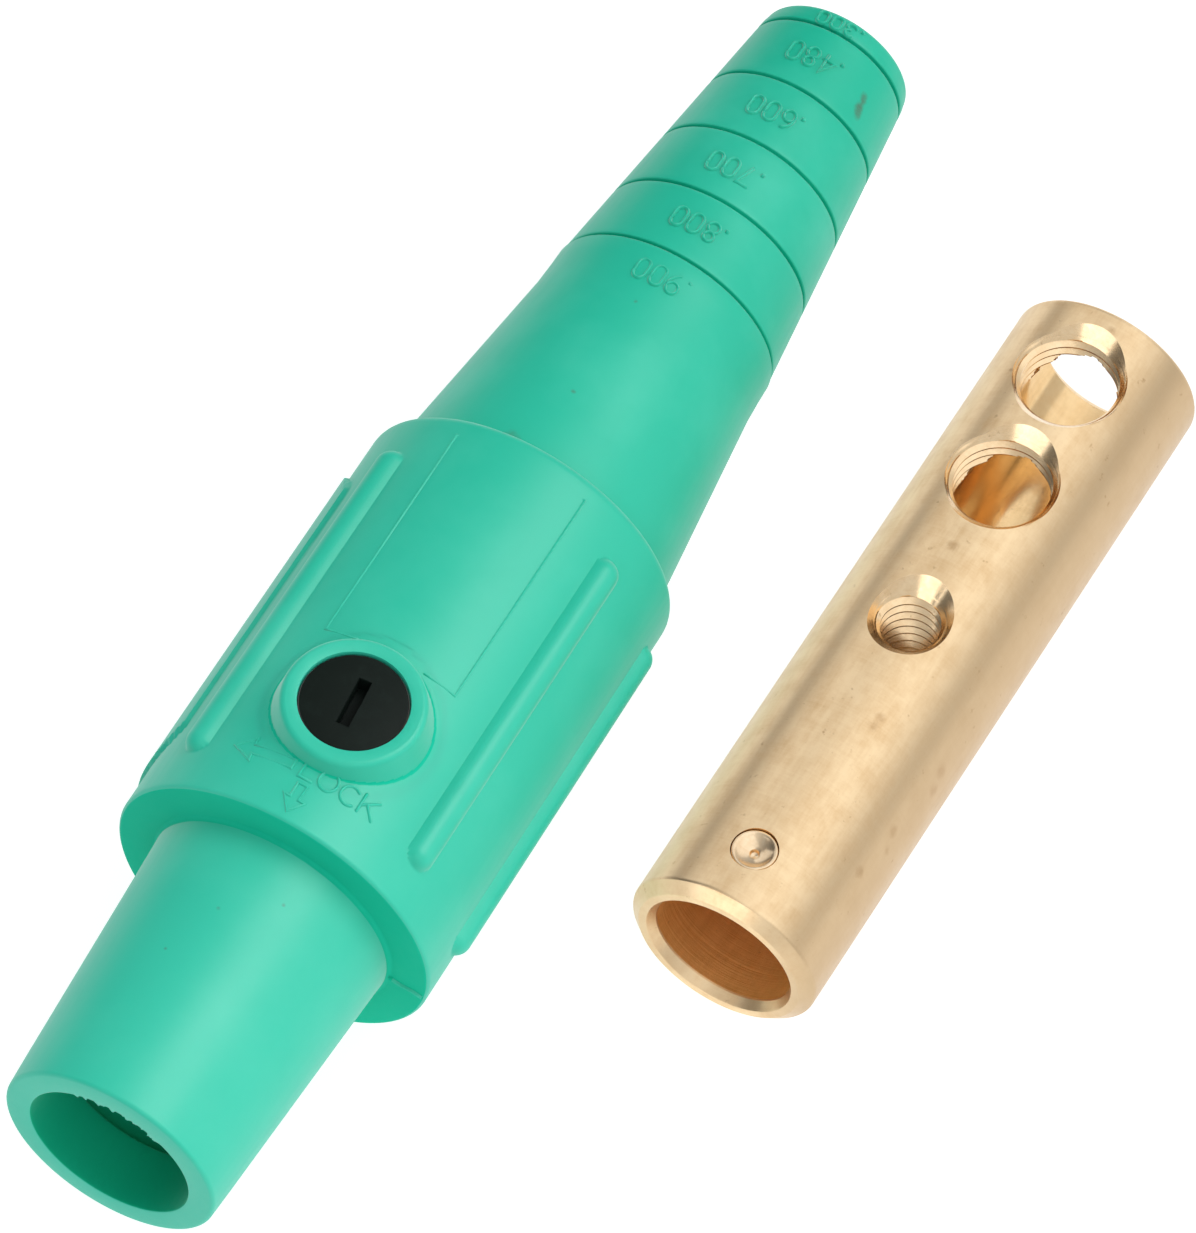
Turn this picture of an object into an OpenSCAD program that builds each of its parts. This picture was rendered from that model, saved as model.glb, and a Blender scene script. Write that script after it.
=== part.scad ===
// Single-pole cam-lock connector, female side, laid out in two parts:
// the moulded elastomer sleeve with its plastic retaining screw, and beside it
// the turned brass contact with its pressed cam pin.
// Frame: origin at the middle of the sleeve's mating mouth, +X along the sleeve
// to the cable end, +Z out of the retaining screw, the contact lies at -Y.

/* [Contact] */
// Outside diameter of the turned contact
contact_od = 22.2; // [21.6:0.1:22.8]
// Length of the contact
contact_len = 87.2; // [84:0.1:88]
// Socket bore for the mating pin, diameter
socket_d = 16.3; // [15.5:0.1:16.8]
// Depth of the socket from the front face
socket_depth = 33; // [28:0.5:34]
// Conductor bore, diameter
conductor_d = 14.3; // [13:0.1:15]
// Depth of the conductor bore from the rear face
conductor_depth = 34.5; // [32:0.5:36]
// Outer chamfer at the front edge
front_chamfer = 1.4; // [0.4:0.1:1.6]
// Width of the bevel inside the socket mouth
mouth_bevel = 0.6; // [0.3:0.1:1]
// Depth of the bevel inside the socket mouth
mouth_bevel_depth = 1.2; // [0.6:0.1:2]
// Outer chamfer at the rear edge
rear_chamfer = 0.6; // [0.3:0.1:1]
// Bevel at the rear mouth of the conductor bore
rear_bevel = 0.7; // [0.3:0.1:1]

/* [Contact holes] */
// Distance from the front face to the retaining hole
retain_x = 41.7; // [40:0.1:42]
// Retaining thread, major diameter
retain_thread_d = 7.94; // [7:0.02:8.2]
// Depth of the retaining hole under the top of the contact
retain_depth = 10.4; // [10:0.1:11]
// Retaining hole countersink, diameter at the top of the contact
retain_sink_d = 10.6; // [9.4:0.1:11]
// Distance from the front face to the first set-screw hole
set_x = 62.3; // [61.8:0.1:63.2]
// Distance between the two set-screw holes
set_pitch = 15.3; // [15:0.1:16]
// Set-screw thread, major diameter
set_thread_d = 12.1; // [11.2:0.1:12.6]
// Set-screw countersink, diameter at the top of the contact
set_sink_d = 14.3; // [13:0.1:14.6]
// Included angle of the countersinks
sink_angle = 82; // [78:1:90]

/* [Cam pin] */
// Distance from the front face to the cam pin
pin_x = 7.6; // [6:0.1:8.4]
// Diameter of the cam pin
pin_d = 5.2; // [4.6:0.1:5.6]
// How far the pin stands into the socket
pin_reach = 2.4; // [1.5:0.1:3.2]
// Diameter of the dish in the pin's outer end
pin_dish_d = 4.4; // [3.4:0.1:4.6]
// Depth of the dish
pin_dish_depth = 0.55; // [0.3:0.05:0.8]
// Diameter of the centre-drill mark
pin_mark_d = 1.1; // [0.8:0.1:1.4]

/* [Sleeve nose] */
// Length of the sleeve
sleeve_len = 159.4; // [158.8:0.1:162]
// Diameter of the mouth
mouth_d = 18.8; // [17.6:0.1:19.4]
// Length of the mouth's lip in front of the contact
lip_len = 7.2; // [6.4:0.1:8.4]
// Outside diameter of the nose at its tip
nose_tip_d = 24.9; // [24.7:0.1:26]
// Outside diameter of the nose at the collar
nose_root_d = 28; // [27.4:0.1:29]
// Length of the nose
nose_len = 33.8; // [33:0.1:35]
// Rounding of the nose's front edge
lip_round = 0.5; // [0.3:0.1:0.8]
// Fillet between nose and collar
nose_fillet = 0.5; // [0.3:0.1:1.4]

/* [Sleeve body] */
// Outside diameter of the body at the collar
body_front_d = 37.5; // [36.8:0.1:38.4]
// Outside diameter of the body at its rear edge
body_rear_d = 37.1; // [36:0.1:37.4]
// Distance from the mouth to the rear edge of the body
body_end = 87.6; // [86.4:0.1:90]
// Rounding of the collar's edge
collar_round = 0.5; // [0.3:0.1:1.4]
// Rounding of the body's rear edge
rear_round = 1.2; // [0.5:0.1:1.5]
// Clearance between contact and chamber
contact_fit = 0.1; // [0.05:0.05:0.2]

/* [Ribs and side panel] */
// Width of a grip rib where it meets the body
rib_w = 3.5; // [2.6:0.1:3.8]
// Height of a grip rib
rib_h = 1.3; // [0.7:0.1:1.5]
// Distance from the mouth to the front end of the ribs
rib_start = 38.7; // [38:0.1:40]
// Length of the ribs
rib_len = 43.2; // [40:0.1:44]
// Angle between neighbouring ribs
rib_step = 45; // [44:0.5:46]
// Height of the bare side panel
panel_h = 0.5; // [0.3:0.1:0.9]
// Width of the side panel
panel_w = 19.6; // [17:0.2:20]
// Radius of the side panel's bowed ends
panel_bow = 12.5; // [12:0.1:14]

/* [Screw boss] */
// Diameter of the boss at its top
boss_d = 15.3; // [15:0.1:16]
// Height of the boss above the body
boss_h = 2.05; // [1.6:0.05:2.4]
// Widening of the boss from its top to the body
boss_draft = 0.5; // [0.3:0.05:0.8]
// Rounding of the boss's top edge
boss_round = 0.6; // [0.3:0.05:0.8]

/* [Retaining screw] */
// Diameter of the head
head_d = 11.6; // [11:0.1:12]
// Height of the head
head_h = 6; // [5:0.1:6.4]
// Depth of the head under the top of the boss
head_recess = 0.25; // [0.1:0.05:0.5]
// Length of the threaded shank
shank_len = 13.2; // [12:0.1:13.6]
// Length of the driver slot
slot_len = 5.9; // [5:0.1:6.5]
// Width of the driver slot
slot_w = 1.45; // [1.2:0.05:1.8]
// Depth of the driver slot
slot_depth = 2.2; // [1.5:0.1:3]
// Angle of the slot to the sleeve's axis
slot_turn = 5; // [0:1:10]
// Clearance between head and boss, all round
head_fit = 0.15; // [0.1:0.01:0.25]
// Clearance between shank and sleeve, all round
shank_fit = 0.2; // [0.15:0.01:0.3]

/* [Cable cone] */
// Outside diameter of the cone behind the body
cone_d = 33.2; // [32:0.1:34]
// Diameter of the bead in front of the first ring
bead_d = 27.1; // [26.7:0.1:27.6]
// Diameter of the cone just behind the first ring
ring_cone_d = 26.7; // [26.4:0.1:27]
// Outside diameter at the cable end
tip_d = 18; // [17.6:0.1:18.6]
// Distance from the mouth to the first cutting ring
ring_start = 119.4; // [119:0.1:121]
// Distance between the cutting rings
ring_pitch = 9.3; // [9.1:0.05:9.4]
// Width of a cutting ring
ring_w = 0.6; // [0.4:0.1:1]
// Depth of a cutting ring
ring_depth = 0.5; // [0.3:0.05:0.7]
// Rounding of the cable end
tip_round = 0.9; // [0.5:0.1:1.2]
// Marked cable diameters in thousandths of an inch, from the first ring back
cable_mils = [900, 800, 700, 600, 480, 300];

/* [Layout] */
// Distance from the mouth to the front of the contact that lies beside
contact_x = 57.6; // [50:0.1:62]
// Distance between the two axes at the front of the contact
contact_gap = 41.2; // [36:0.1:50]
// Turn of the lying contact about its own axis
contact_turn = -4.9; // [-10:0.1:10]
// Angle of the lying contact to the sleeve's axis
contact_yaw = -1; // [-3:0.1:3]

/* [Hidden] */
smooth = 128;
mil = 0.0254;

contact_r = contact_od / 2;
chamber_r = contact_r + contact_fit;
mouth_r = mouth_d / 2;
screw_x = lip_len + retain_x;

body_front_r = body_front_d / 2;
body_rear_r = body_rear_d / 2;
body_len = body_end - nose_len;
// Radius of the body at distance x from the mouth
function body_r(x) = body_front_r + (body_rear_r - body_front_r) * (x - nose_len) / body_len;

// A rib is a round bar sunk into the body: its radius follows from width and height
rib_r = (pow(rib_w / 2, 2) + pow(rib_h, 2)) / (2 * rib_h);
rib_end = rib_start + rib_len;
// The bars follow the taper of the body
rib_slope = atan((body_front_r - body_rear_r) / body_len);
rib_axis_r = body_r(rib_start) + rib_h - rib_r;
// Both parts rest on one plane, the sleeve on the front end of its lowest rib
rest_r = rib_axis_r + rib_r * (cos(rib_slope) - sin(rib_slope));
// Turns of the ribs from the screw, the side panel takes the place of one of them
rib_turns = [-3, -1, 1, 2, 3, 4];
panel_turn = -2;

boss_r = boss_d / 2;
boss_top = body_r(screw_x) + boss_h;
head_r = head_d / 2;
head_top = boss_top - head_recess;
head_seat = head_top - head_h;
head_bore_r = head_r + head_fit;
shank_r = retain_thread_d / 2 - 0.05;
shank_bore_r = shank_r + shank_fit;

ring_count = len(cable_mils) - 1;
// Centre of cutting ring i
function ring_x(i) = ring_start + i * ring_pitch;
// Radius of the cone behind the first ring at distance x from the mouth
function cone_r(x) = ring_cone_d / 2 + (tip_d - ring_cone_d) / 2 * (x - ring_start) / (sleeve_len - ring_start);
// The cone runs out into a low bead in front of the first ring
bead_len = 2.4;
bead_drop = 0.05;
bead_rise = 0.2;
bead_root_r = bead_d / 2 - bead_drop;
bead_start = ring_start - bead_len - 3;

contact_z = contact_r - rest_r;
sink_slope = tan(sink_angle / 2);
drill_angle = 118;

// Points of a round corner with centre c and radius r from angle a0 to a1
function arc(c, r, a0, a1, n = 6) = [for (i = [0 : n]) let (a = a0 + (a1 - a0) * i / n) [c[0] + r * cos(a), c[1] + r * sin(a)]];

// Turns a closed outline of [distance along X, radius] points about the X axis
module turned(outline, facets = smooth) {
    rotate([0, 90, 0]) rotate_extrude($fn = facets) polygon([for (p = outline) [p[1], p[0]]]);
}

// Cutting ring i as outline points across a flank of the cone
function ring_notch(i) = let (x = ring_x(i), h = ring_w / 2) [
    [x - h, i == 0 ? bead_root_r : cone_r(x - h)],
    [x - h * 0.35, cone_r(x) - ring_depth],
    [x + h * 0.35, cone_r(x) - ring_depth],
    [x + h, cone_r(x + h)]
];

// Bore of the cable section that starts behind cutting ring i
function bore_r(i) = cable_mils[i] * mil / 2;
chamber_end = lip_len + contact_len;
// Half the length of the cone between two sections of the bore
bore_step = 0.8;

sleeve_outside = concat(
    arc([lip_round, nose_tip_d / 2 - lip_round], lip_round, 180, 90),
    [[nose_len - nose_fillet, nose_root_d / 2]],
    arc([nose_len - nose_fillet, nose_root_d / 2 + nose_fillet], nose_fillet, 270, 360, 5),
    arc([nose_len + collar_round, body_front_r - collar_round], collar_round, 180, 90),
    arc([body_end - rear_round, body_rear_r - rear_round], rear_round, 90, 0),
    [[body_end, cone_d / 2]],
    [[bead_start, bead_root_r + bead_rise], [ring_start - bead_len, bead_d / 2]],
    [for (i = [0 : ring_count - 1]) each ring_notch(i)],
    arc([sleeve_len - tip_round, tip_d / 2 - tip_round], tip_round, 90, 0)
);

sleeve_inside = concat(
    [[sleeve_len, bore_r(ring_count)]],
    [for (i = [ring_count - 1 : -1 : 0]) each [[ring_x(i) + bore_step, bore_r(i + 1)], [ring_x(i) - bore_step, bore_r(i)]]],
    [[chamber_end + bore_step, bore_r(0)], [chamber_end, chamber_r]],
    [[lip_len, chamber_r], [lip_len, mouth_r], [0, mouth_r]]
);

// Round grip rib with round ends, at a turn about the sleeve's axis
module grip_rib(turn) {
    rotate([turn * rib_step, 0, 0]) translate([rib_start, 0, rib_axis_r]) rotate([0, rib_slope, 0])
        turned(concat(
            [[0, 0]],
            arc([rib_r, 0], rib_r, 172, 90, 5),
            arc([rib_len - rib_r, 0], rib_r, 90, 8, 5),
            [[rib_len, 0]]
        ), 48);
}

// Bare raised panel with bowed ends, on the side away from the contact
module side_panel() {
    top = body_front_r + panel_h;
    rotate([panel_turn * rib_step, 0, 0]) intersection() {
        linear_extrude(height = top + 1) intersection() {
            translate([rib_start, -panel_w / 2]) square([rib_len, panel_w]);
            union() {
                translate([rib_start + panel_bow, 0]) circle(r = panel_bow, $fn = smooth);
                translate([rib_end - panel_bow, 0]) circle(r = panel_bow, $fn = smooth);
                translate([rib_start + panel_bow, -panel_bow]) square([rib_len - 2 * panel_bow, 2 * panel_bow]);
            }
        }
        turned([
            [rib_start - 1, chamber_r + 1.5], [rib_end + 1, chamber_r + 1.5],
            [rib_end + 1, body_r(rib_end) + panel_h], [rib_start - 1, body_r(rib_start) + panel_h]
        ]);
    }
}

// Raised boss round the retaining screw
module screw_boss() {
    foot = body_r(screw_x) - 4;
    draft = boss_draft / boss_h;
    translate([screw_x, 0, 0]) rotate_extrude($fn = smooth) polygon(concat(
        [[0, foot], [boss_r + draft * (boss_top - foot), foot]],
        arc([boss_r - boss_round, boss_top - boss_round], boss_round, atan(draft), 90),
        [[0, boss_top]]
    ));
}

// Stepped bore for the retaining screw, from the boss into the contact chamber
module screw_bore() {
    translate([screw_x, 0, head_seat]) cylinder(r = head_bore_r, h = head_h + head_recess + 1, $fn = smooth);
    translate([screw_x, 0, chamber_r - 3]) cylinder(r = shank_bore_r, h = head_seat - chamber_r + 4, $fn = smooth);
}

// The moulded sleeve: hollow turned form with its ribs, side panel and screw boss
module insulating_sleeve() {
    color("mediumaquamarine") difference() {
        union() {
            turned(concat(sleeve_outside, sleeve_inside));
            for (t = rib_turns) grip_rib(t);
            side_panel();
            screw_boss();
        }
        screw_bore();
    }
}

// Plastic screw that holds the contact: head with a closed driver slot, plain shank
module retaining_screw() {
    edge = 0.3;
    lead = 0.8;
    color("dimgray") translate([screw_x, 0, 0]) difference() {
        rotate_extrude($fn = smooth) polygon([
            [0, head_seat - shank_len], [shank_r - lead, head_seat - shank_len],
            [shank_r, head_seat - shank_len + lead], [shank_r, head_seat],
            [head_r - edge, head_seat], [head_r, head_seat + edge],
            [head_r, head_top - edge], [head_r - edge, head_top], [0, head_top]
        ]);
        translate([0, 0, head_top - slot_depth]) rotate([0, 0, slot_turn])
            translate([-slot_len / 2, -slot_w / 2, 0]) cube([slot_len, slot_w, slot_depth + 1]);
    }
}

// Countersunk hole from the top of the contact, its bottom at height low
module threaded_hole(x, thread_d, sink_d, low) {
    sink_depth = (sink_d - thread_d) / 2 / sink_slope;
    translate([x, 0, low]) cylinder(d = thread_d, h = contact_r + 1 - low, $fn = smooth);
    translate([x, 0, contact_r - sink_depth])
        cylinder(d1 = thread_d, d2 = thread_d + 2 * (sink_depth + 1) * sink_slope, h = sink_depth + 1, $fn = smooth);
}

// Length of the cone that a drill of radius r leaves at the floor of its hole
function drill_tip(r) = r / tan(drill_angle / 2);

// The turned bar with its socket and its conductor bore
module contact_turning() {
    socket_r = socket_d / 2;
    conductor_r = conductor_d / 2;
    floor_x = contact_len - conductor_depth;
    difference() {
        turned([
            [0, 0], [0, contact_r - front_chamfer], [front_chamfer, contact_r],
            [contact_len - rear_chamfer, contact_r], [contact_len, contact_r - rear_chamfer], [contact_len, 0]
        ]);
        turned([
            [-1, 0], [-1, socket_r + mouth_bevel], [0, socket_r + mouth_bevel], [mouth_bevel_depth, socket_r],
            [socket_depth, socket_r], [socket_depth + 0.6, socket_r - 2.5], [socket_depth + 0.6, 0]
        ]);
        turned([
            [floor_x - drill_tip(conductor_r), 0], [floor_x, conductor_r],
            [contact_len - rear_bevel, conductor_r], [contact_len, conductor_r + rear_bevel],
            [contact_len + 1, conductor_r + rear_bevel], [contact_len + 1, 0]
        ]);
    }
}

// Everything of the contact is drawn about its own axis, then laid beside the sleeve
module beside() {
    translate([contact_x, -contact_gap, contact_z]) rotate([contact_turn, 0, contact_yaw]) children();
}

// The turned contact with its retaining hole, two set-screw holes and pin hole
module contact_body() {
    color("burlywood") beside() difference() {
        contact_turning();
        threaded_hole(retain_x, retain_thread_d, retain_sink_d, contact_r - retain_depth);
        threaded_hole(set_x, set_thread_d, set_sink_d, 0);
        threaded_hole(set_x + set_pitch, set_thread_d, set_sink_d, 0);
        translate([pin_x, 0, 0]) cylinder(d = pin_d, h = contact_r + 1, $fn = smooth);
    }
}

// The pressed pin that the mating contact's cam slot turns against
module cam_pin() {
    low = socket_d / 2 - pin_reach;
    high = contact_r - 0.25;
    rim = 0.35;
    color("tan") beside() translate([pin_x, 0, 0]) rotate_extrude($fn = smooth) polygon([
        [0, low], [pin_d / 2 - rim, low], [pin_d / 2, low + rim], [pin_d / 2, high],
        [pin_dish_d / 2, high], [pin_mark_d / 2, high - pin_dish_depth],
        [pin_mark_d / 4, high - pin_dish_depth - 0.5], [0, high - pin_dish_depth - 0.5]
    ]);
}

insulating_sleeve();
retaining_screw();
contact_body();
cam_pin();
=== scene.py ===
"""Looks of a single-pole cam-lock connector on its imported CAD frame.

Sizes are in millimetres and stand in the frame of the CAD model: origin at the
middle of the sleeve's mouth, +X along the sleeve to the cable end, +Z out of the
retaining screw, the contact beside it at -Y.
"""

import logging
import math
from dataclasses import dataclass, field
from enum import Enum
from typing import Any, Callable

import bpy
import numpy as np
from mathutils import Matrix, Vector


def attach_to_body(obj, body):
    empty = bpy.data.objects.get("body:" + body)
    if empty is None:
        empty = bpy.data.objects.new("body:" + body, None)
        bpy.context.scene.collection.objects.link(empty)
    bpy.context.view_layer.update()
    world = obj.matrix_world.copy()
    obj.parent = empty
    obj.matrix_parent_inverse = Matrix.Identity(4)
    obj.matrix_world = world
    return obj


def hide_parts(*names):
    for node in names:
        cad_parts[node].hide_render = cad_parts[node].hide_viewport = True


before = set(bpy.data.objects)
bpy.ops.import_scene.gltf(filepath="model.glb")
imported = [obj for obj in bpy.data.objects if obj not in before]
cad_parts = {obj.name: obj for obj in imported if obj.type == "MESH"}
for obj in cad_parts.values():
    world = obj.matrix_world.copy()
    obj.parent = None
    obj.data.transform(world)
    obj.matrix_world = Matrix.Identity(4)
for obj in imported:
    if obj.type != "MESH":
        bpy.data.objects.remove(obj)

log = logging.getLogger("connector")
MM = 0.001
Outline = list[tuple[float, float]]


class Body(Enum):
    """Rigid bodies of the frame that a piece can ride on."""

    ROOT = "root"
    SCREW = "screw"


class Slot(Enum):
    """Material slots of the record."""

    SLEEVE = "sleeve_elastomer"
    SCREW = "screw_plastic"
    CONTACT = "contact_brass"
    PIN = "pin_brass"


def linear(code: str) -> tuple[float, float, float, float]:
    """Turns an sRGB hex colour to linear RGBA.

    Args:
        code: colour as six hex digits.

    Returns:
        Linear red, green and blue with an alpha of one.
    """
    parts = [int(code[i : i + 2], 16) / 255 for i in (0, 2, 4)]
    r, g, b = (v / 12.92 if v <= 0.04045 else ((v + 0.055) / 1.055) ** 2.4 for v in parts)
    return r, g, b, 1.0


def per_metre(size_mm: float) -> float:
    """Scale of a texture whose features are size_mm wide, in object coordinates."""
    return 1.0 / (size_mm * MM)


def add_node(tree: bpy.types.NodeTree, kind: str, sockets: dict[Any, Any] | None = None, **settings: Any) -> Any:
    """Adds a node with its settings, values and links.

    Args:
        tree: node tree to add to.
        kind: Blender's name of the node's type.
        sockets: value or linked output for each input, by name or number.
        settings: properties of the node.

    Returns:
        The new node.
    """
    node = tree.nodes.new(kind)
    for key, value in settings.items():
        setattr(node, key, value)
    for key, value in (sockets or {}).items():
        if isinstance(value, bpy.types.NodeSocket):
            tree.links.new(value, node.inputs[key])
        else:
            node.inputs[key].default_value = value
    return node


# Inputs for the two colours of a mix node, and its output for the result
COLOUR_A, COLOUR_B, COLOUR_OUT = 6, 7, 2
UNIT = (0.0, 1.0)


def empty_tree(block: Any) -> bpy.types.NodeTree:
    """Gives a material or a world an empty node tree.

    Args:
        block: the material or world.

    Returns:
        Its node tree.
    """
    block.use_nodes = True
    block.node_tree.nodes.clear()
    return block.node_tree


def new_material(name: str) -> tuple[bpy.types.Material, bpy.types.NodeTree, Any]:
    """Makes a material without a shader.

    Args:
        name: the material's name.

    Returns:
        The material, its node tree and the output with the object's coordinates.
    """
    material = bpy.data.materials.new(name)
    tree = empty_tree(material)
    return material, tree, add_node(tree, "ShaderNodeTexCoord").outputs["Object"]


def noise(tree: bpy.types.NodeTree, place: Any, size_mm: float, detail: float = 2.0, roughness: float = 0.5) -> Any:
    """Adds a noise pattern.

    Args:
        tree: node tree to add to.
        place: output with the coordinates.
        size_mm: width of the pattern's features.
        detail: number of finer layers.
        roughness: strength of each finer layer.

    Returns:
        Output with the pattern.
    """
    sockets = {"Vector": place, "Scale": per_metre(size_mm), "Detail": detail, "Roughness": roughness}
    return add_node(tree, "ShaderNodeTexNoise", sockets).outputs["Fac"]


def remap(tree: bpy.types.NodeTree, value: Any, before: tuple[float, float], after: tuple[float, float] = UNIT) -> Any:
    """Maps a value from one range to another, and holds it at the ends.

    Args:
        tree: node tree to add to.
        value: output with the value.
        before: the value's range.
        after: the range that it is mapped to.

    Returns:
        Output with the mapped value.
    """
    names = ("Value", "From Min", "From Max", "To Min", "To Max")
    return add_node(tree, "ShaderNodeMapRange", dict(zip(names, (value, *before, *after)))).outputs[0]


def reckon(tree: bpy.types.NodeTree, operation: str, *values: Any) -> Any:
    """Adds a math node.

    Args:
        tree: node tree to add to.
        operation: Blender's name of the operation.
        values: numbers or outputs, in the operation's order.

    Returns:
        Output with the result.
    """
    return add_node(tree, "ShaderNodeMath", dict(enumerate(values)), operation=operation).outputs[0]


def blend(tree: bpy.types.NodeTree, factor: Any, first: Any, second: Any) -> Any:
    """Mixes two colours.

    Args:
        tree: node tree to add to.
        factor: output with the second colour's share.
        first: sRGB hex digits, or an output with the colour.
        second: the other colour, given the same way.

    Returns:
        Output with the mixed colour.
    """
    a, b = (linear(c) if isinstance(c, str) else c for c in (first, second))
    sockets = {"Factor": factor, COLOUR_A: a, COLOUR_B: b}
    return add_node(tree, "ShaderNodeMix", sockets, data_type="RGBA").outputs[COLOUR_OUT]


def mapped(tree: bpy.types.NodeTree, place: Any, **change: Any) -> Any:
    """Turns or stretches the coordinates of a pattern.

    Args:
        tree: node tree to add to.
        place: output with the coordinates.
        change: the mapping's Rotation or Scale.

    Returns:
        Output with the changed coordinates.
    """
    return add_node(tree, "ShaderNodeMapping", {"Vector": place, **change}).outputs[0]


def add_bump(tree: bpy.types.NodeTree, height: Any, strength: float, depth_mm: float, **more: Any) -> Any:
    """Adds a bump.

    Args:
        tree: node tree to add to.
        height: output with the pattern.
        strength: share of the bump that shows.
        depth_mm: depth of the pattern.
        more: other inputs, such as the bump below it as Normal.

    Returns:
        Output with the shading normal.
    """
    sockets = {"Height": height, "Strength": strength, "Distance": depth_mm * MM, **more}
    return add_node(tree, "ShaderNodeBump", sockets).outputs[0]


def add_surface(tree: bpy.types.NodeTree, sockets: dict[str, Any]) -> None:
    """Adds the shader and the material's output.

    Args:
        tree: node tree to add to.
        sockets: values or outputs for the shader's inputs.
    """
    shader = add_node(tree, "ShaderNodeBsdfPrincipled", sockets)
    add_node(tree, "ShaderNodeOutputMaterial", {"Surface": shader.outputs[0]})


def read(block: Any, name: str) -> np.ndarray:
    """Reads a vector of every point or face of a mesh.

    Args:
        block: the mesh's points or faces.
        name: the vector's name.

    Returns:
        One row for each.
    """
    values = np.empty(len(block) * 3)
    block.foreach_get(name, values)
    return values.reshape(-1, 3)


@dataclass
class Patch:
    """A stretch of surface: points in millimetres and the faces between them."""

    points: np.ndarray
    faces: list[tuple[int, ...]]

    @classmethod
    def grid(cls, points: np.ndarray, closed: bool = True, flip: bool = False, keep: np.ndarray | None = None) -> "Patch":
        """Makes quads between the rows of a grid of points.

        Args:
            points: array of rows by columns by three.
            closed: whether the last column joins the first.
            flip: whether the faces turn the other way.
            keep: points that a face may use, or None for all.

        Returns:
            The patch.
        """
        rows, cols = points.shape[:2]
        n = np.arange(rows * cols).reshape(rows, cols)
        m = np.roll(n, -1, axis=1) if closed else n[:, 1:]
        a = n if closed else n[:, :-1]
        quads = np.stack([a[:-1], m[:-1], m[1:], a[1:]], axis=-1).reshape(-1, 4)
        if keep is not None:
            quads = quads[keep.reshape(-1)[quads].all(axis=1)]
        if flip:
            quads = quads[:, ::-1]
        return cls(points.reshape(-1, 3), [tuple(q) for q in quads.tolist()])


def bow(cx: float, cy: float, rx: float, ry: float, start: float, end: float, steps: int = 14) -> Outline:
    """Points of an elliptic arc about (cx, cy) with radii rx and ry, from start to end in degrees."""
    turns = np.radians(np.linspace(start, end, steps + 1))
    return [(cx + rx * math.cos(t), cy + ry * math.sin(t)) for t in turns]


def arc(centre: tuple[float, float], radius: float, start: float, end: float, steps: int = 6) -> Outline:
    """Points of a round arc in an outline's plane, from start to end in degrees."""
    return bow(*centre, radius, radius, start, end, steps)


def about_x(x: Any, r: Any, t: np.ndarray) -> np.ndarray:
    """Places points round the X axis.

    Args:
        x: distances along the axis.
        r: radii.
        t: turns in radians, from the top toward the contact.

    Returns:
        The points, with three coordinates last.
    """
    return np.stack(np.broadcast_arrays(x, -r * np.sin(t), r * np.cos(t)), axis=-1)


def about_z(z: Any, r: Any, t: np.ndarray, centre: float = 0.0) -> np.ndarray:
    """Places points round an upright axis.

    Args:
        z: heights.
        r: radii.
        t: turns in radians, from X toward Y.
        centre: distance of the axis along X.

    Returns:
        The points, with three coordinates last.
    """
    return np.stack(np.broadcast_arrays(centre + r * np.cos(t), r * np.sin(t), z), axis=-1)


def turned(outline: Outline, facets: int, flip: bool = False, upright: bool = False, shut: bool = False,
           centre: float = 0.0) -> Patch:
    """Turns an outline of (distance along the axis, radius) points about its axis.

    Args:
        outline: the outline's points.
        facets: number of steps round.
        flip: whether the faces turn the other way.
        upright: whether the axis is Z, and not X.
        shut: whether both ends are closed with a face.
        centre: distance of an upright axis along X.

    Returns:
        The turned surface.
    """
    a = np.array(outline)
    along, r = a[:, :1], a[:, 1:]
    t = np.linspace(0, 2 * np.pi, facets, endpoint=False)
    patch = Patch.grid(about_z(along, r, t, centre) if upright else about_x(along, r, t), flip=flip)
    if shut:
        first, last = tuple(range(facets)), tuple(range((len(a) - 1) * facets, len(a) * facets))
        patch.faces += [first, last[::-1]] if flip else [first[::-1], last]
    return patch


def thread(low: Any, high: Any, root: float, crest: float, pitch: float, facets: int, centre: float = 0.0,
           sink: tuple[float, float, float] | None = None, bore: float = 0.0) -> Patch:
    """Makes a helical thread about an upright axis.

    Args:
        low: height of the thread's lower end, a number or one per facet.
        high: height of its upper end, a number or one per facet.
        root: radius at the thread's root.
        crest: radius at the thread's crest.
        pitch: height of one turn.
        facets: number of steps round.
        centre: distance of the axis along X.
        sink: height, radius there and widening per height of a countersink that cuts the thread, or None.
        bore: radius of a bore along X, through the axes' origin, that the thread opens into, or zero.

    Returns:
        The thread's flanks, closed to the root at both ends.
    """
    # Every row of points follows the helix, so that the crests are clean lines
    rows_per_turn, flank_slope, crest_flat, clear = 14, 2.7, 0.18, 0.03
    t = np.linspace(0, 2 * np.pi, facets + 1)
    low, high = np.broadcast_to(low, t.shape), np.broadcast_to(high, t.shape)
    step = 1 / rows_per_turn
    turns = np.arange(math.floor(low.min() / pitch) - 1, math.ceil(high.max() / pitch) + step, step)
    free = pitch * (turns[:, None] + t / (2 * np.pi))
    z = np.clip(free, low, high)
    rise = np.clip(np.abs(turns % 1.0 - 0.5) * flank_slope - crest_flat, 0, 1)
    r = np.broadcast_to((root + (crest - root) * (1 - rise))[:, None], z.shape).copy()
    r[(free <= low) | (free >= high)] = root
    if sink is not None:
        height, wide, slope = sink
        r = np.maximum(r, wide + (z - height) * slope + np.where(z > height, clear, 0.0))
    if bore:
        z = np.maximum(z, np.sqrt(np.maximum(bore**2 - (r * np.sin(t)) ** 2, 0.0)))
    # One row past each end closes the thread
    spare = 1.01 * step * pitch
    keep = (free > low - spare) & (free < high + spare)
    return Patch.grid(about_z(z, r, t, centre), closed=False, flip=crest < root, keep=keep)


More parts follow.
